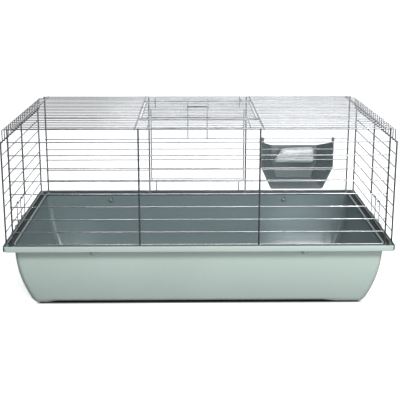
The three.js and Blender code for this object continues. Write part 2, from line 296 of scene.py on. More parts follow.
# %% Zinc wire and its welds
def zinc(name, light, dark, gloss):
    recipe = Recipe(name)
    patch = recipe.node("ShaderNodeTexVoronoi", {}, {"Vector": recipe.places, "Scale": 260}, "Color")
    patch = recipe.node("ShaderNodeSeparateColor", {}, {0: patch}, 0)
    haze = cloud(recipe, 14, 3.0)
    hair = cloud(recipe, 900, 3.0)
    tone = blend(recipe, patch * 0.3 + band(recipe, haze, 0.35, 0.7) * 0.7, light, dark)
    recipe.set(Base_Color=tone, Metallic=1.0, Roughness=gloss + haze * 0.12 + patch * 0.06)
    recipe.set(Normal=raised(recipe, hair * 0.6 + patch * 0.4, 0.12, 0.00004))
    return recipe.material


zinc_wire = zinc("zinc_line_wire", (0.37, 0.382, 0.40, 1), (0.26, 0.27, 0.285, 1), 0.07)
frame_zinc = zinc("zinc_frame_wire", (0.38, 0.39, 0.41, 1), (0.24, 0.248, 0.26, 1), 0.09)
weld_metal = zinc("weld_metal", (0.50, 0.50, 0.51, 1), (0.30, 0.30, 0.31, 1), 0.34)
print(zinc_wire.name, frame_zinc.name, weld_metal.name)

# %% [markdown]
# The hay rack is another plastic, a dark grey with a fine moulded grain. The bag that lies in it is
# a clear milky film, whose folds catch the light. Its creases come from a stretched pattern, and their
# valleys are pressed in and painted darker, as painted shade in the creases.

# %% Rack plastic
def rack_grey():
    recipe = Recipe("rack_plastic")
    flow = cloud(recipe, 9, 3.0)
    grain = cloud(recipe, 520, 3.0)
    draw = cloud(recipe, 1.0, 3.0, stretched(recipe, (160, 160, 6)))
    patches = band(recipe, flow, 0.3, 0.7)
    tone = blend(recipe, patches, (0.120, 0.150, 0.154, 1), (0.140, 0.170, 0.173, 1))
    tone = blend(recipe, band(recipe, draw, 0.55, 0.8) * 0.3, tone, (0.18, 0.21, 0.213, 1))
    recipe.set(Base_Color=tone, Roughness=0.30 + grain * 0.12 + draw * 0.06)
    recipe.set(Normal=raised(recipe, grain, 0.3, 0.0002), Specular_IOR_Level=0.5)
    return recipe.material


rack_plastic = rack_grey()
print(rack_plastic.name, len(rack_plastic.node_tree.nodes), "nodes")

# %% Bag film
def milky_film():
    recipe = Recipe("bag_film")
    crumple = cloud(recipe, 1.0, 5.0, stretched(recipe, (28, 60, 120)), 0.6)
    crease = recipe.node("ShaderNodeTexVoronoi", {"feature": "DISTANCE_TO_EDGE"},
                         {"Vector": stretched(recipe, (22, 40, 70)), "Scale": 1.0})
    # Painted shade: the crease valleys are darkened in colour, and the bump also presses them in.
    valley_and_shade = 1 - band(recipe, crease, 0.0, 0.10)
    patches = band(recipe, crumple, 0.35, 0.65)
    tone = blend(recipe, patches, (0.52, 0.575, 0.565, 1), (0.64, 0.69, 0.68, 1))
    tone = blend(recipe, valley_and_shade * 0.35, tone, (0.34, 0.39, 0.38, 1))
    recipe.set(Base_Color=tone, Roughness=0.22 + crumple * 0.2, Coat_Roughness=0.12)
    recipe.set(Normal=raised(recipe, crumple - valley_and_shade * 0.5, 0.5, 0.0012), Coat_Weight=0.4)
    return recipe.material


bag_film = milky_film()
print(bag_film.name, len(bag_film.node_tree.nodes), "nodes")

# %% [markdown]
# ## Working by hand
# Every piece below is made as one would make it at the keyboard: a primitive at its size and place,
# then edit mode. An operator acts on everything that is selected, so each piece starts with nothing
# selected at all.

# %% Start, finish and join
MM = 0.001


def nothing_selected():
    if bpy.context.object and bpy.context.object.mode != "OBJECT":
        bpy.ops.object.mode_set(mode="OBJECT")
    bpy.ops.object.select_all(action="DESELECT")


def only(thing):
    nothing_selected()
    thing.select_set(True)
    bpy.context.view_layer.objects.active = thing


def edit(thing):
    only(thing)
    bpy.ops.object.mode_set(mode="EDIT")
    bpy.ops.mesh.select_all(action="DESELECT")


def done():
    bpy.ops.object.mode_set(mode="OBJECT")
    bpy.ops.object.transform_apply(location=True, rotation=True, scale=True)


def joined(name, things):
    nothing_selected()
    for thing in things:
        thing.select_set(True)
    bpy.context.view_layer.objects.active = things[0]
    bpy.ops.object.join()
    whole = bpy.context.object
    whole.name = name
    whole.data.name = name
    return whole


def painted(thing, material):
    thing.data.materials.clear()
    thing.data.materials.append(material)
    return thing


def copy_at(thing, offset):
    twin = thing.copy()
    twin.data = thing.data.copy()
    bpy.context.collection.objects.link(twin)
    twin.data.transform(Matrix.Translation(offset))
    return twin


def smooth(thing, degrees):
    only(thing)
    bpy.ops.object.shade_smooth_by_angle(angle=math.radians(degrees))
    return thing


# %% Pick parts of a mesh by where they are
def pick_vertices(thing, wanted):
    shape = bmesh.from_edit_mesh(thing.data)
    for vertex in shape.verts:
        vertex.select_set(wanted(vertex.co))
    shape.select_flush(True)
    bmesh.update_edit_mesh(thing.data)


def pick_faces(thing, wanted):
    # Unselecting a face also unselects its neighbours' edges, so all of that comes first.
    bpy.ops.mesh.select_all(action="DESELECT")
    shape = bmesh.from_edit_mesh(thing.data)
    shape.normal_update()
    for face in shape.faces:
        if wanted(face):
            face.select_set(True)
    bmesh.update_edit_mesh(thing.data)


print("pickers: pick_vertices, pick_faces")

# %% [markdown]
# ## Tub
# The tub is a loft. A tub like this narrows towards its foot, and its corners grow rounder on the way
# down, which scaling one outline can't do. So it is built from rounded outlines, one for each
# height, and each is bridged to the next: up the outside, over the rim, and down the inside.

# %% A rounded outline
CORNER_STEPS = 9


def outline(half_length, half_depth, corner, height):
    nothing_selected()
    bpy.ops.mesh.primitive_plane_add(size=2, location=(0, 0, height))
    ring = bpy.context.object
    bpy.ops.transform.resize(value=(half_length, half_depth, 1))
    bpy.ops.object.transform_apply(location=True, rotation=True, scale=True)
    bpy.ops.object.mode_set(mode="EDIT")
    bpy.ops.mesh.select_all(action="SELECT")
    bpy.ops.mesh.bevel(affect="VERTICES", offset=corner, segments=CORNER_STEPS, profile=0.5)
    bpy.ops.object.mode_set(mode="OBJECT")
    return ring


# %% Bridge a stack of outlines
def loft(name, rings):
    for index, ring in enumerate(rings):
        group = ring.vertex_groups.new(name=f"ring_{index}")
        group.add(range(len(ring.data.vertices)), 1.0, "REPLACE")
    last = len(rings) - 1
    shell = joined(name, rings)
    bpy.ops.object.mode_set(mode="EDIT")
    bpy.ops.mesh.select_mode(type="VERT")
    bpy.ops.mesh.select_all(action="SELECT")
    for index in (0, last):
        bpy.ops.object.vertex_group_set_active(group=f"ring_{index}")
        bpy.ops.object.vertex_group_deselect()
    bpy.ops.mesh.delete(type="ONLY_FACE")
    for index in range(last):
        bpy.ops.mesh.select_all(action="DESELECT")
        for group in (index, index + 1):
            bpy.ops.object.vertex_group_set_active(group=f"ring_{group}")
            bpy.ops.object.vertex_group_select()
        bpy.ops.mesh.bridge_edge_loops()
    bpy.ops.mesh.select_all(action="SELECT")
    bpy.ops.mesh.normals_make_consistent(inside=False)
    bpy.ops.object.mode_set(mode="OBJECT")
    shell.vertex_groups.clear()
    return shell


# %% The tub's own sizes
# Insets and corners are in millimetres, and tub_ring turns them into metres.
HALF_LENGTH, HALF_DEPTH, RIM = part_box("tub")[1]
WALL_TOP = RIM - 17 * MM
WALL = 2.3
TOP_INSET = 25
TAPER = 33.5
TAPER_CURVE = 1.93
TOP_CORNER = 14
CORNER_GROWTH = 8
print("tub", round(2 * HALF_LENGTH, 3), "by", round(2 * HALF_DEPTH, 3), "by", round(RIM, 3))


def bow(height):
    return (1 - min(max(height, 0), WALL_TOP) / WALL_TOP) ** TAPER_CURVE


def wall_inset(height):
    return TOP_INSET + TAPER * bow(height)


def tub_ring(inset, height, corner):
    return outline(HALF_LENGTH - inset * MM, HALF_DEPTH - inset * MM, corner * MM, height)


def wall_ring(height, inset=0.0):
    return tub_ring(wall_inset(height) + inset, height, TOP_CORNER + CORNER_GROWTH * bow(height))


# %% Loft the tub
heights = [z * MM for z in (7, 13, 21, 31, 43, 57, 73, 91, 110, 128, 144, 157)]
rings = [tub_ring(64, 0.0, 20)]
rings += [tub_ring(60.0, 1.0 * MM, 21), tub_ring(58.6, 3.0 * MM, 22)]
rings += [wall_ring(z) for z in heights]
rings += [tub_ring(25, RIM - 12.6 * MM, 14), tub_ring(23.8, RIM - 11.1 * MM, 13)]
rings += [tub_ring(3.6, RIM - 11.6 * MM, 9.4), tub_ring(2.7, RIM - 12.2 * MM, 9.4)]
rings += [tub_ring(2.6, RIM - 14.5 * MM, 9.4), tub_ring(2.1, RIM - 14.9 * MM, 9.8)]
rings += [tub_ring(0.6, RIM - 15 * MM, 11.4), tub_ring(0, RIM - 14.4 * MM, 12)]
rings += [tub_ring(0, RIM - 1.6 * MM, 12), tub_ring(0.5, RIM - 0.5 * MM, 11.5)]
rings += [tub_ring(1.5, RIM, 10.5), tub_ring(2.3, RIM - 0.4 * MM, 9.8)]
rings += [tub_ring(2.8, RIM - 1.4 * MM, 9.4), tub_ring(3.5, RIM - 8 * MM, 9.2)]
rings += [tub_ring(4.6, RIM - 9 * MM, 9), tub_ring(20, RIM - 9.3 * MM, 9)]
rings += [tub_ring(21.2, RIM - 8.2 * MM, 9.6), tub_ring(21.8, RIM - 4.2 * MM, 10)]
rings += [tub_ring(22.5, RIM - 3.2 * MM, 11), tub_ring(24.2, RIM - 3 * MM, 12)]
rings += [tub_ring(26.4, RIM - 3.4 * MM, 13), tub_ring(27.3, RIM - 4.6 * MM, 14)]
rings += [wall_ring(z, WALL) for z in reversed(heights)]
rings += [tub_ring(63.5, 4.6 * MM, 22), tub_ring(68, 3.4 * MM, 20), tub_ring(73, 3 * MM, 18)]
tub = loft("tub_shell", rings)
print("tub loft:", len(tub.data.polygons), "faces")

# %% [markdown]
# The base stands on two low feet, one at each end, and is hollowed between them. The moulding is
# bisected beside each foot, and everything low between the cuts is moved up together: the
# underside, its rounded edge and the floor inside keep their thickness.

# %% Lift the base between its feet
HOLLOW = 3.4 * MM
FOOT_CUTS = (-0.404, -0.376, 0.328, 0.362)
edit(tub)
for cut in FOOT_CUTS:
    bpy.ops.mesh.select_all(action="SELECT")
    bpy.ops.mesh.bisect(plane_co=(cut, 0, 0), plane_no=(1, 0, 0))
bpy.ops.mesh.select_all(action="DESELECT")
pick_vertices(tub, lambda co: co.z < 5 * MM and -0.38 < co.x < 0.33)
bpy.ops.transform.translate(value=(0, 0, HOLLOW))
done()
print("feet at both ends, hollow between")

# %% [markdown]
# Four small half-round lugs stand under the rim, two in front and two behind. They are pushed out from
# inside, so each is also a dimple in the inner wall. A ball is added to the wall with one
# Boolean and a smaller, shallower ball is taken away with another.

# %% Lugs and dimples
LUG_X = 0.272
LUG_SIZE = (8.6 * MM, 10 * MM, 8 * MM)
DIMPLE_SIZE = (7 * MM, 6 * MM, 8 * MM)


def ball(place, size):
    nothing_selected()
    bpy.ops.mesh.primitive_uv_sphere_add(segments=20, ring_count=12, radius=1, location=place)
    shape = bpy.context.object
    bpy.ops.transform.resize(value=size)
    bpy.ops.object.transform_apply(location=True, rotation=True, scale=True)
    return shape


def combine(thing, other, operation):
    only(thing)
    step = thing.modifiers.new(operation.lower(), "BOOLEAN")
    step.operation = operation
    step.object = other
    bpy.ops.object.modifier_apply(modifier=step.name)
    bpy.data.objects.remove(other)


for x in (-LUG_X, LUG_X):
    for side in (-1, 1):
        lug = ball((x, side * (HALF_DEPTH - 26 * MM), RIM - 24 * MM), LUG_SIZE)
        combine(tub, lug, "UNION")
        dimple = ball((x, side * (HALF_DEPTH - 30 * MM), RIM - 21 * MM), DIMPLE_SIZE)
        combine(tub, dimple, "DIFFERENCE")
print("tub after lugs:", len(tub.data.polygons), "faces")

# %% [markdown]
# The wire panels stand in the channel of the rim, each post in its own small socket. A socket is
# a short round peg: its top is inset and pushed down into a cup, and its edge is bevelled.

# %% Sockets for the posts
POSTS = [-0.472, -0.151, 0.151, 0.472]
END_POST_Y = 0.25
PEG_MIDDLE = RIM - 4.6 * MM


def socket_peg():
    nothing_selected()
    bpy.ops.mesh.primitive_cylinder_add(vertices=20, radius=4.6 * MM, depth=8.9 * MM)
    peg = bpy.context.object
    edit(peg)
    pick_faces(peg, lambda face: face.normal.z > 0.9)
    bpy.ops.mesh.inset(thickness=1.7 * MM)
    bpy.ops.transform.translate(value=(0, 0, -2.2 * MM))
    pick_vertices(peg, lambda co: co.z > 4 * MM and co.xy.length > 4 * MM)
    bpy.ops.mesh.bevel(offset=0.5 * MM, segments=2)
    done()
    return peg


peg = socket_peg()
peg_places = [(x, y) for x in POSTS for y in (-0.2600, 0.2600)]
peg_places += [(x, y) for x in (-0.4905, 0.4905) for y in (-END_POST_Y, END_POST_Y)]
pegs = [copy_at(peg, (x, y, PEG_MIDDLE)) for x, y in peg_places]
bpy.data.objects.remove(peg)
print(len(pegs), "sockets")

# %% [markdown]
# The pegs join the shell, and each face gets one of the two plastics. A face is inner when it lies
# behind the outer wall and looks inwards. Near a lug, where the wall is pushed out, only the
# direction it looks in counts.

# %% Two plastics on the tub
tub = joined("tub_shell", [tub] + pegs)
painted(tub, sage_plastic)
tub.data.materials.append(inner_plastic)


def is_inner(face):
    place = face.center
    from_edge = min(HALF_LENGTH - abs(place.x), HALF_DEPTH - abs(place.y))
    if place.z > RIM - 10 * MM:
        return from_edge > 1.9 * MM
    if abs(abs(place.x) - LUG_X) < LUG_SIZE[0] and place.z > RIM - 32 * MM:
        return place.y * face.normal.y < 0
    depth = from_edge - wall_inset(place.z) * MM
    facing_in = -place.x * face.normal.x - place.y * face.normal.y > -0.02 or face.normal.z > 0.7
    return depth > 0.9 * MM and facing_in and place.z > 1.5 * MM


inner = 0
for face in tub.data.polygons:
    face.material_index = 1 if is_inner(face) else 0
    inner += face.material_index
smooth(tub, 32)
print(inner, "inner faces of", len(tub.data.polygons))
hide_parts("tub")
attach(tub, "tub")

# %% [markdown]
# ## Wire
# A wire is a disc drawn out. The disc's face is extruded along for a straight run and spun
# round a centre for a bend, just as wire goes through a bending machine. Its two cut ends are inset
# with a little depth, which rounds them off.

# %% Draw one wire
def drawn(radius, start, heading, moves, sides=8):
    nothing_selected()
    turn = Vector((0, 0, 1)).rotation_difference(Vector(heading)).to_euler()
    bpy.ops.mesh.primitive_circle_add(vertices=sides, radius=radius, fill_type="NGON",
                                      location=start, rotation=turn)
    rod = bpy.context.object
    bpy.ops.object.transform_apply(location=True, rotation=True, scale=True)
    bpy.ops.object.mode_set(mode="EDIT")
    bpy.ops.mesh.select_mode(type="FACE")
    bpy.ops.mesh.select_all(action="SELECT")
    tip = Vector(start)
    way = Vector(heading).normalized()
    for move in moves:
        if len(move) == 1:
            bpy.ops.mesh.extrude_region_move(TRANSFORM_OT_translate={"value": way * move[0]})
            tip = tip + way * move[0]
        else:
            degrees, axis, bend = move
            axis = Vector(axis)
            centre = tip + axis.cross(way).normalized() * bend * (1 if degrees > 0 else -1)
            steps = max(2, round(abs(degrees) / 22.5))
            bpy.ops.mesh.spin(steps=steps, angle=-math.radians(degrees), center=centre, axis=axis)
            swing = Matrix.Rotation(math.radians(degrees), 3, axis)
            tip = centre + swing @ (tip - centre)
            way = swing @ way
    bpy.ops.mesh.select_all(action="SELECT")
    bpy.ops.mesh.remove_doubles(threshold=1e-6)
    bpy.ops.mesh.normals_make_consistent(inside=False)
    pick_faces(rod, lambda face: len(face.verts) == sides)
    bpy.ops.mesh.inset(thickness=radius * 0.4, depth=radius * 0.3)
    done()
    return painted(rod, zinc_wire if radius < 1.8 * MM else frame_zinc)


def straight(radius, start, end, sides=8):
    run = Vector(end) - Vector(start)
    trim = run.normalized() * radius * 0.3
    return drawn(radius, Vector(start) + trim, run, [(run.length - 2 * trim.length,)], sides)


# %% [markdown]
# Loops are how one panel turns on the next: a thin wire bent round a thicker one. Spot welds leave a
# small flattened bead between two crossing wires. Each is modelled once and copied to every place.

# %% Loops and weld beads
def wire_loop(place, axis):
    nothing_selected()
    turn = (0, math.pi / 2, 0) if axis == "x" else (math.pi / 2, 0, 0)
    bpy.ops.mesh.primitive_torus_add(major_segments=20, minor_segments=8, major_radius=2.6 * MM,
                                     minor_radius=1.0 * MM, location=place, rotation=turn)
    ring = bpy.context.object
    bpy.ops.object.transform_apply(location=True, rotation=True, scale=True)
    return painted(ring, zinc_wire)


def weld_bead():
    nothing_selected()
    bpy.ops.mesh.primitive_ico_sphere_add(subdivisions=1, radius=1.0)
    bead = bpy.context.object
    edit(bead)
    bpy.ops.mesh.select_all(action="SELECT")
    bpy.ops.mesh.subdivide(number_cuts=1, smoothness=1.0)
    bpy.ops.transform.resize(value=(1.9 * MM, 1.9 * MM, 1.9 * MM))
    done()
    return painted(bead, weld_metal)


bead = weld_bead()
print("bead of", len(bead.data.polygons), "faces")


def welds(places):
    return [copy_at(bead, place) for place in places]


def finished(name, things, nodes, body):
    whole = smooth(joined(name, things), 50)
    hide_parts(*nodes)
    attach(whole, body)
    print(name, len(whole.data.polygons), "faces on", body)
    return whole


# %% [markdown]
# Wire sizes below are radii. The measured cage's line wire is 1.25 mm in radius, which places the
# highest wire, and here the wires are 0.15 mm larger. Levels count up from the rim.

# %% The wire top's own sizes
front_low, front_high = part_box("front_grille")
FRAME_WIRE = 2.15 * MM
LINE_WIRE = 1.4 * MM
HOOK_WIRE = 1.2 * MM
CAD_LINE_WIRE = 1.25 * MM
SIDE = 259 * MM
END = 490 * MM
PANEL_HALF = front_high[0]
ROOF = front_high[2] - CAD_LINE_WIRE
PITCH = 33.2 * MM
TIES = (-0.130, 0.130)
levels = [ROOF - PITCH * (9 - index) for index in range(10)]
POST_FOOT = front_low[2]
POST_STEP = 2.45 * MM
print("levels from", round(levels[0], 4), "to", round(levels[-1], 4))

# %% [markdown]
# ### Front panel
# Ten long wires and four posts. The posts stand outside the long wires and are a little thicker.
# One wire and one post are drawn, then copied up and along.

# %% Front panel
def long_wires(start, end, side, heights):
    first = straight(LINE_WIRE, (start, side * SIDE, heights[0]), (end, side * SIDE, heights[0]))
    return [first] + [copy_at(first, (0, 0, z - heights[0])) for z in heights[1:]]


def posts(side, places):
    y = side * (SIDE + POST_STEP)
    first = straight(FRAME_WIRE, (places[0], y, POST_FOOT), (places[0], y, front_high[2]), 12)
    return [first] + [copy_at(first, (x - places[0], 0, 0)) for x in places[1:]]


front = long_wires(-PANEL_HALF, PANEL_HALF, -1, levels) + posts(-1, POSTS)
front += welds([(x, -SIDE - 1.4 * MM, z - 0.2 * MM) for x in POSTS for z in levels])
finished("front_panel_wires", front, ["front_grille"], "front_panel")

# %% [markdown]
# ### Back panel
# The same wires and posts, but the middle bay is a doorway. Only the two lowest and the two highest
# wires run through it. The others stop at the inner posts. Two short ties brace each pair.

# %% Back panel
DOORWAY = 0.149
back = long_wires(-PANEL_HALF, PANEL_HALF, 1, [levels[0], levels[1], levels[8], levels[9]])
back += long_wires(-PANEL_HALF, -DOORWAY, 1, levels[2:8])
back += long_wires(DOORWAY, PANEL_HALF, 1, levels[2:8])
back += posts(1, POSTS)
back += welds([(x, SIDE + 1.4 * MM, z - 0.2 * MM) for x in POSTS for z in levels])
tie_y = SIDE - 1.7 * MM
for low, high in ((levels[0], levels[1]), (levels[8], levels[9])):
    for x in TIES:
        ends = ((x, tie_y, low - 0.4 * MM), (x, tie_y, high + 0.3 * MM))
        back.append(straight(LINE_WIRE, *ends))
back_nodes = ["back_grille_left", "back_grille_right", "back_strip_top", "back_strip_bottom"]
finished("back_panel_wires", back, back_nodes, "back_panel")

# %% [markdown]
# ### End panels
# Nine wires from front to back, a post near each corner and a shorter one in the middle. The left and
# right ends are mirror images, so one function makes either from its hand: -1 or 1.

# %% End panels
def end_panel(hand):
    x = hand * END
    post_x = hand * (END + POST_STEP)
    reach = 253 * MM
    first = straight(LINE_WIRE, (x, -reach, levels[0]), (x, reach, levels[0]))
    wires = [first] + [copy_at(first, (0, 0, z - levels[0])) for z in levels[1:9]]
    top = levels[8] + 0.4 * MM
    corner = straight(FRAME_WIRE, (post_x, -END_POST_Y, POST_FOOT), (post_x, -END_POST_Y, top), 12)
    wires += [corner, copy_at(corner, (0, 2 * END_POST_Y, 0))]
    wires.append(straight(FRAME_WIRE, (post_x, 0, levels[2] - 0.4 * MM), (post_x, 0, top), 12))
    bead_x = hand * (END + 1.4 * MM)
    corners = (-END_POST_Y, END_POST_Y)
    wires += welds([(bead_x, y, z - 0.2 * MM) for y in corners for z in levels[:9]])
    wires += welds([(bead_x, 0, z - 0.2 * MM) for z in levels[2:9]])
    return wires


finished("left_end_wires", end_panel(-1), ["end_grille_left"], "left_end")
finished("right_end_wires", end_panel(1), ["end_grille_right"], "right_end")

# %% [markdown]
# ### Roof
# The roof's wires run the whole length, 25 mm apart. At each end they bend down and most of them
# curl under the end panel's top wire, which is what that panel hangs and turns on. Four ribs cross
# above them. Wires between the door's two cross wires stop at the inner ribs.

# %% Half of the roof's wires with their bent ends
ROOF_WIRE = ROOF - POST_STEP
ROOF_ROWS = [index * 25 * MM for index in range(-10, 11)]
DROP_X = END - 2.55 * MM
BEND = 3 * MM
CURLED = 178
HALF_CURLED = 78
INNER_STOP = 0.158


def roof_end(hand, inner, curl):
    fall = ROOF_WIRE - BEND - levels[8]
    moves = [(DROP_X - BEND - inner,), (hand * 90, (0, 1, 0), BEND), (fall,)]
    moves.append((-hand * curl, (0, 1, 0), 2.5 * MM))
    return drawn(HOOK_WIRE, (hand * inner, 0, ROOF_WIRE), (hand, 0, 0), moves)


def roof_half(hand):
    kinds = {}
    for inner in (0.0, INNER_STOP):
        for curl in (CURLED, HALF_CURLED):
            kinds[inner, curl] = roof_end(hand, inner, curl)
    wires = []
    for y in ROOF_ROWS:
        meets_door = -0.11 < y < 0.18
        by_post = abs(y) > 0.24 or abs(y) < 0.01
        inner = INNER_STOP if meets_door else 0.0
        curl = HALF_CURLED if by_post else CURLED
        wires.append(copy_at(kinds[inner, curl], (0, y, 0)))
    for kind in kinds.values():
        bpy.data.objects.remove(kind)
    return wires


# %% Ribs, cross wires and their welds
RIBS = [-0.46, -0.16, 0.16, 0.46]
HINGE_Y = -0.112
KEEPER_Y = 0.183
roof = roof_half(-1) + roof_half(1)
rib_reach = SIDE - 2.5 * MM
rib = straight(FRAME_WIRE, (RIBS[0], -rib_reach, ROOF), (RIBS[0], rib_reach, ROOF), 12)
roof += [rib] + [copy_at(rib, (x - RIBS[0], 0, 0)) for x in RIBS[1:]]
front_loop = wire_loop((RIBS[0], -SIDE, ROOF), "x")
for x in RIBS:
    roof.append(copy_at(front_loop, (x - RIBS[0], 0, 0)))
    roof.append(copy_at(front_loop, (x - RIBS[0], 2 * SIDE, 0)))
bpy.data.objects.remove(front_loop)
for y in (HINGE_Y, KEEPER_Y):
    roof.append(straight(LINE_WIRE, (RIBS[1], y, ROOF_WIRE), (RIBS[2], y, ROOF_WIRE)))
tie_z = ROOF_WIRE - 1.7 * MM
for low, high in ((-0.2504, -0.1116), (0.1826, 0.2504)):
    for x in TIES:
        roof.append(straight(LINE_WIRE, (x, low, tie_z), (x, high, tie_z)))
roof += welds([(x, y, ROOF - 1.3 * MM) for x in RIBS for y in ROOF_ROWS])
roof_nodes = ["roof_grille_left", "roof_grille_right", "roof_strip_front", "roof_strip_back"]
roof_nodes += ["roof_hooks_left", "roof_hooks_right"]
finished("roof_wires", roof, roof_nodes, "wire_top")

# %% [markdown]
# ### Doors
# A door is a small grille of its own: thin bars between two thicker side wires. Its side wires end in
# loops round the wire it turns on. The roof door lifts at its far side and the other door drops.
# Each row of bars is one bar, copied.

# %% Roof door
DOOR_WIRE = 1.5 * MM
DOOR_STEP = 1.95 * MM
ROOF_DOOR = 0.152
door_z = ROOF_WIRE + DOOR_STEP
depths = [-0.107] + [index * 25 * MM for index in range(-3, 7)] + [0.178]
bar = straight(LINE_WIRE, (-ROOF_DOOR, depths[0], ROOF_WIRE), (ROOF_DOOR, depths[0], ROOF_WIRE))
roof_door = [bar] + [copy_at(bar, (0, y - depths[0], 0)) for y in depths[1:]]
side_wire = straight(DOOR_WIRE, (-ROOF_DOOR, -0.1101, door_z), (-ROOF_DOOR, 0.1792, door_z), 10)
hinge_loop = wire_loop((-ROOF_DOOR, HINGE_Y, ROOF_WIRE), "x")
roof_door += [side_wire, copy_at(side_wire, (2 * ROOF_DOOR, 0, 0))]
roof_door += [hinge_loop, copy_at(hinge_loop, (2 * ROOF_DOOR, 0, 0))]
weld_z = ROOF_WIRE + 1.1 * MM
roof_door += welds([(x, y, weld_z) for x in (-ROOF_DOOR, ROOF_DOOR) for y in depths])
finished("roof_door_wires", roof_door, ["roof_door"], "roof_door")

# %% Back door
BACK_DOOR = 0.1445
BAR_LIFT = 1.5 * MM
door_y = SIDE + DOOR_STEP
door_top = levels[8] - 5 * MM
bar_z = levels[1] + 5 * MM
bar = straight(LINE_WIRE, (-BACK_DOOR, SIDE, bar_z), (BACK_DOOR, SIDE, bar_z))
heights = [bar_z] + [z + BAR_LIFT for z in levels[2:8]] + [door_top]
back_door = [bar] + [copy_at(bar, (0, 0, z - bar_z)) for z in heights[1:]]
side_ends = [(-BACK_DOOR, door_y, z) for z in (levels[1] + 1.9 * MM, door_top + 1.2 * MM)]
side_wire = straight(DOOR_WIRE, *side_ends, 10)
hinge_loop = wire_loop((-BACK_DOOR, SIDE, levels[1]), "x")
back_door += [side_wire, copy_at(side_wire, (2 * BACK_DOOR, 0, 0))]
back_door += [hinge_loop, copy_at(hinge_loop, (2 * BACK_DOOR, 0, 0))]
weld_y = SIDE + 1.1 * MM
back_door += welds([(x, weld_y, z) for x in (-BACK_DOOR, BACK_DOOR) for z in heights])
finished("back_door_wires", back_door, ["back_door"], "back_door")

# %% [markdown]
# ### Latches
# Each door is held by a bail: one wire bent into a square U. Its two feet are loops round a bar of the
# door. Its closed end snaps over the wire of the frame next to the door's edge.

# %% Latch bails
LATCH_HALF = 30 * MM
LATCH_STEP = 3.3 * MM
LATCH_BEND = 1.6 * MM


def bail(pivot, up, out, rise, reach):
    up = Vector(up)
    out = Vector(out)
    across = Vector((1, 0, 0))
    hook = across if up.cross(out).dot(across) < 0 else -across
    corner = across.cross(out).normalized()
    start = Vector(pivot) - across * LATCH_HALF + out * LATCH_STEP
    leg = (rise - LATCH_BEND,)
    arm = (reach - 2 * LATCH_BEND,)
    closed_end = (2 * LATCH_HALF - 2 * LATCH_BEND,)
    moves = [leg, (90, hook, LATCH_BEND), arm, (90, corner, LATCH_BEND), closed_end]
    moves += [(90, corner, LATCH_BEND), arm, (90, -hook, LATCH_BEND), leg]
    wire = drawn(LINE_WIRE, start, up, moves)
    loops = [wire_loop(Vector(pivot) + across * LATCH_HALF * side, "x") for side in (-1, 1)]
    return [wire] + loops


latch_rise = levels[8] + 3 * MM - levels[5] - BAR_LIFT
latch_pivot = (0, SIDE, levels[5] + BAR_LIFT)
latch_up = bail(latch_pivot, (0, 0, 1), (0, 1, 0), latch_rise, LATCH_STEP + 1 * MM)
finished("back_latch_bail", latch_up, ["back_door_latch"], "back_latch")
latch_flat = bail((0, 0.075, ROOF_WIRE), (0, 1, 0), (0, 0, 1), 0.1113, LATCH_STEP + 1.4 * MM)
finished("roof_latch_bail", latch_flat, ["roof_door_latch"], "roof_latch")

# %% [markdown]
# ### End clips
# A clip holds the wire top to the tub at each end. Three legs turn on the end panel's third wire,
# bend out over the rim and down past its edge, and a foot wire ties them.

# %% End clips
CLIP_ROWS = (-0.1, -0.053, -0.006)
CLIP_BEND = 1.5 * MM
CLIP_DROP = 6.2 * MM
CLIP_FOOT = 10.8 * MM


def end_clip(hand):
    pivot_z = levels[2]
    shoulder = RIM + 7.4 * MM
    leg_x = hand * (END + LATCH_STEP)
    over_x = hand * (HALF_LENGTH + 2 * MM)
    run = abs(over_x - leg_x)
    turn = hand * (90 - math.degrees(math.atan2(CLIP_DROP, run)))
    tilt = math.hypot(run, CLIP_DROP) - 2.4 * MM
    moves = [(pivot_z - shoulder,), (-turn, (0, 1, 0), CLIP_BEND), (tilt,)]
    moves += [(turn, (0, 1, 0), CLIP_BEND), (CLIP_FOOT,)]
    leg = drawn(HOOK_WIRE, (leg_x, CLIP_ROWS[0], pivot_z), (0, 0, -1), moves)
    pieces = [leg]
    for y in CLIP_ROWS[1:]:
        pieces.append(copy_at(leg, (0, y - CLIP_ROWS[0], 0)))
    for y in CLIP_ROWS:
        pieces.append(wire_loop((hand * END, y, pivot_z), "y"))
    points = [vertex.co for vertex in leg.data.vertices]
    foot_z = min(point.z for point in points) + HOOK_WIRE
    foot_x = hand * max(hand * point.x for point in points) - hand * HOOK_WIRE
    pieces.append(straight(HOOK_WIRE, (foot_x, -0.1012, foot_z), (foot_x, -0.0048, foot_z)))
    return pieces


finished("left_clip_wires", end_clip(-1), ["end_clip_left"], "left_clip")
finished("right_clip_wires", end_clip(1), ["end_clip_right"], "right_clip")
bpy.data.objects.remove(bead)

# %% [markdown]
# ## Hay rack
# The rack is an open pocket of moulded plastic. It is wide where it meets the wires and narrows
# towards its back. A plate is cut to the pocket's outline, extruded back and narrowed in one move,
# its front and top are opened, and Solidify gives the walls their thickness.

# %% Rack pocket
rack_low, rack_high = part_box("hay_rack")
RACK_X = 0.314
RACK_FRONT = 0.2606
RACK_BACK = 0.348
RACK_WALL = 2.2 * MM
near = [(-114, 250), (-114, 332), (114, 332), (114, 250), (82, 180), (-82, 180)]
far = [(-76, 246), (-76, 304), (76, 304), (76, 246), (58, 196), (-58, 196)]
print("rack", [round(high - low, 3) for low, high in zip(rack_low, rack_high)])


def rack_plate(points, y):
    nothing_selected()
    bpy.ops.mesh.primitive_circle_add(vertices=6, radius=0.1, fill_type="NGON", location=(0, 0, 0))
    plate = bpy.context.object
    for vertex, (x, z) in zip(plate.data.vertices, points):
        vertex.co = (RACK_X + x * MM, y, z * MM)
    return plate


pocket = loft("rack_pocket", [rack_plate(near, RACK_FRONT), rack_plate(far, RACK_BACK)])
edit(pocket)
pick_faces(pocket, lambda face: face.normal.y < -0.9 or face.normal.z > 0.5)
bpy.ops.mesh.delete(type="FACE")
done()
print("pocket of", len(pocket.data.polygons), "plates")

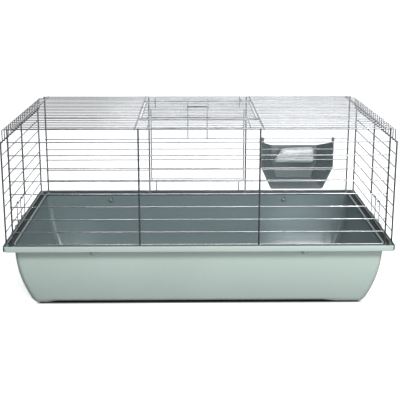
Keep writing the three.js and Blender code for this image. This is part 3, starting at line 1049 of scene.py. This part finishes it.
# %% Give it rounded corners and walls
edit(pocket)
shape = bmesh.from_edit_mesh(pocket.data)
for edge in shape.edges:
    edge.select_set(len(edge.link_faces) == 2)
bmesh.update_edit_mesh(pocket.data)
bpy.ops.mesh.bevel(offset=5 * MM, segments=4, profile=0.5)
bpy.ops.mesh.select_all(action="SELECT")
bpy.ops.mesh.normals_make_consistent(inside=False)
done()
walls = pocket.modifiers.new("walls", "SOLIDIFY")
walls.thickness = RACK_WALL
walls.offset = -1
only(pocket)
bpy.ops.object.modifier_apply(modifier="walls")
edges = pocket.modifiers.new("edges", "BEVEL")
edges.width = 0.5 * MM
edges.segments = 2
edges.limit_method = "ANGLE"
bpy.ops.object.modifier_apply(modifier="edges")
print("rack pocket:", len(pocket.data.polygons), "faces")

# %% [markdown]
# Two hooks at the top corners carry the rack on one wire of the panel. Each is a small block,
# drawn up, over the wire and down again by extruding one of its faces each time.

# %% Rack hooks
def rack_hook(x):
    nothing_selected()
    wire_z = levels[5]
    middle = (x + 4 * MM, RACK_FRONT + RACK_WALL / 2, wire_z - 8 * MM)
    block = (8 * MM, RACK_WALL, 19.6 * MM)
    bpy.ops.mesh.primitive_cube_add(size=1, location=middle, scale=block)
    hook = bpy.context.object
    bpy.ops.object.transform_apply(location=True, rotation=True, scale=True)
    edit(hook)
    pick_faces(hook, lambda face: face.normal.z > 0.9)
    bpy.ops.mesh.extrude_region_move(TRANSFORM_OT_translate={"value": (0, 0, RACK_WALL)})
    over = wire_z + 1.8 * MM
    pick_faces(hook, lambda face: face.normal.y < -0.9 and face.calc_center_median().z > over)
    bpy.ops.mesh.extrude_region_move(TRANSFORM_OT_translate={"value": (0, -3.45 * MM, 0)})
    bpy.ops.mesh.extrude_region_move(TRANSFORM_OT_translate={"value": (0, -RACK_WALL, 0)})
    lip = RACK_FRONT - 4.5 * MM
    pick_faces(hook, lambda face: face.normal.z < -0.9 and face.calc_center_median().y < lip)
    bpy.ops.mesh.extrude_region_move(TRANSFORM_OT_translate={"value": (0, 0, -9.6 * MM)})
    bpy.ops.mesh.select_all(action="SELECT")
    bpy.ops.mesh.normals_make_consistent(inside=False)
    done()
    soft = hook.modifiers.new("soft", "BEVEL")
    soft.width = 0.5 * MM
    soft.segments = 2
    bpy.ops.object.modifier_apply(modifier="soft")
    return hook


hooks = [rack_hook(RACK_X - 0.114), rack_hook(RACK_X + 0.106)]
rack = joined("hay_rack_shell", [pocket] + hooks)
painted(rack, rack_plastic)
smooth(rack, 35)
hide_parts("hay_rack")
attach(rack, "rack")
print("hay rack:", len(rack.data.polygons), "faces")

# %% [markdown]
# ## Folded bag
# A plastic bag lies folded in the rack. Folded film is a stack of soft layers with air between them.
# A rounded block is shaped first, the cloth solver blows it up a little so that it gets a
# natural crown, and the layers' edges are then pressed into its face.

# %% Shape of the folded bag
bag_low, bag_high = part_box("accessory_bag")
bag_middle = [(low + high) / 2 for low, high in zip(bag_low, bag_high)]
bag_size = [high - low for low, high in zip(bag_low, bag_high)]
nothing_selected()
bpy.ops.mesh.primitive_cube_add(size=1, location=bag_middle)
bag = bpy.context.object
bag.name = "folded_bag"
shares = (0.96, 0.80, 0.94)
bpy.ops.transform.resize(value=[size * share for size, share in zip(bag_size, shares)])
done()
edit(bag)
left = bag_middle[0] - 0.3 * bag_size[0]
pick_vertices(bag, lambda co: co.x < left and co.z > bag_middle[2])
bpy.ops.transform.translate(value=(0.030, 0, -0.004))
bpy.ops.mesh.select_all(action="SELECT")
bpy.ops.mesh.bevel(offset=9 * MM, segments=4)
done()
print("bag", [round(size, 3) for size in bag_size])

# %% Blow it up a little
def padded_form(thing, pressure, cap):
    only(thing)
    remesh = thing.modifiers.new("skin", "REMESH")
    remesh.mode = "VOXEL"
    remesh.voxel_size = 4 * MM
    bpy.ops.object.modifier_apply(modifier="skin")
    before = [vertex.co.copy() for vertex in thing.data.vertices]
    cloth = thing.modifiers.new("cloth", "CLOTH")
    cloth.settings.use_pressure = True
    cloth.settings.uniform_pressure_force = pressure
    cloth.settings.effector_weights.gravity = 0
    for step in range(1, 21):
        bpy.context.scene.frame_set(step)
    bpy.ops.object.modifier_apply(modifier="cloth")
    bpy.context.scene.frame_set(1)
    for vertex, old in zip(thing.data.vertices, before):
        move = vertex.co - old
        if move.length > cap:
            vertex.co = old + move.normalized() * cap
    return len(before)


print("cloth over", padded_form(bag, 4, 4 * MM), "points")
round_off = bag.modifiers.new("round_off", "SUBSURF")
round_off.levels = 1
round_off.render_levels = 1
only(bag)
bpy.ops.object.modifier_apply(modifier="round_off")

# %% Press the layers into it
LAYERS = 6.0
LAYER_DEPTH = 1.6 * MM
for vertex in bag.data.vertices:
    across = (vertex.co.x - bag_low[0]) / bag_size[0]
    up = (vertex.co.z - bag_low[2]) / bag_size[2]
    curve = up + 0.16 * (across - 0.75) ** 2 - 0.10 * math.sin(across * 2.2)
    if up < 0.66:
        depth = LAYER_DEPTH * (0.5 + 0.5 * math.cos(curve * 2 * math.pi * LAYERS)) ** 3
        toward = 1 if vertex.co.y < bag_middle[1] else -1
        vertex.co.y += toward * depth
        vertex.co.x += depth * (0.6 if across < 0.5 else -0.3)
painted(bag, bag_film)
smooth(bag, 60)
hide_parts("accessory_bag")
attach(bag, "rack")
print("bag:", len(bag.data.polygons), "faces")

# %% [markdown]
# ## Floor
# A plain white floor, wide enough to fill the view. It is luminous, as an overexposed studio sweep
# is, and isn't seen in the wires or lit by them. A dark patch just inside the tub's outline makes the
# thin shadow line where the tub stands.

# %% Studio floor
def sweep_white():
    recipe = Recipe("studio_white")
    mottle = cloud(recipe, 0.7, 2.0)
    inside_x = 1 - band(recipe, apart(recipe, "X"), 0.418, 0.442)
    inside_y = 1 - band(recipe, apart(recipe, "Y"), 0.212, 0.230)
    under = inside_x * inside_y
    tone = blend(recipe, mottle, (0.90, 0.91, 0.91, 1), (0.93, 0.93, 0.93, 1))
    tone = blend(recipe, under, tone, (0.02, 0.022, 0.021, 1))
    glow = blend(recipe, under, (1, 1, 1, 1), (0, 0, 0, 1))
    recipe.set(Base_Color=tone, Roughness=0.8, Specular_IOR_Level=0.0)
    recipe.set(Emission_Color=glow, Emission_Strength=0.6)
    return recipe.material


nothing_selected()
bpy.ops.mesh.primitive_plane_add(size=120, location=(0, 0, -0.4 * MM))
floor = bpy.context.object
floor.name = "studio_floor"
done()
painted(floor, sweep_white())
floor.visible_diffuse = False
floor.visible_glossy = False
print("floor", tuple(round(size, 1) for size in floor.dimensions))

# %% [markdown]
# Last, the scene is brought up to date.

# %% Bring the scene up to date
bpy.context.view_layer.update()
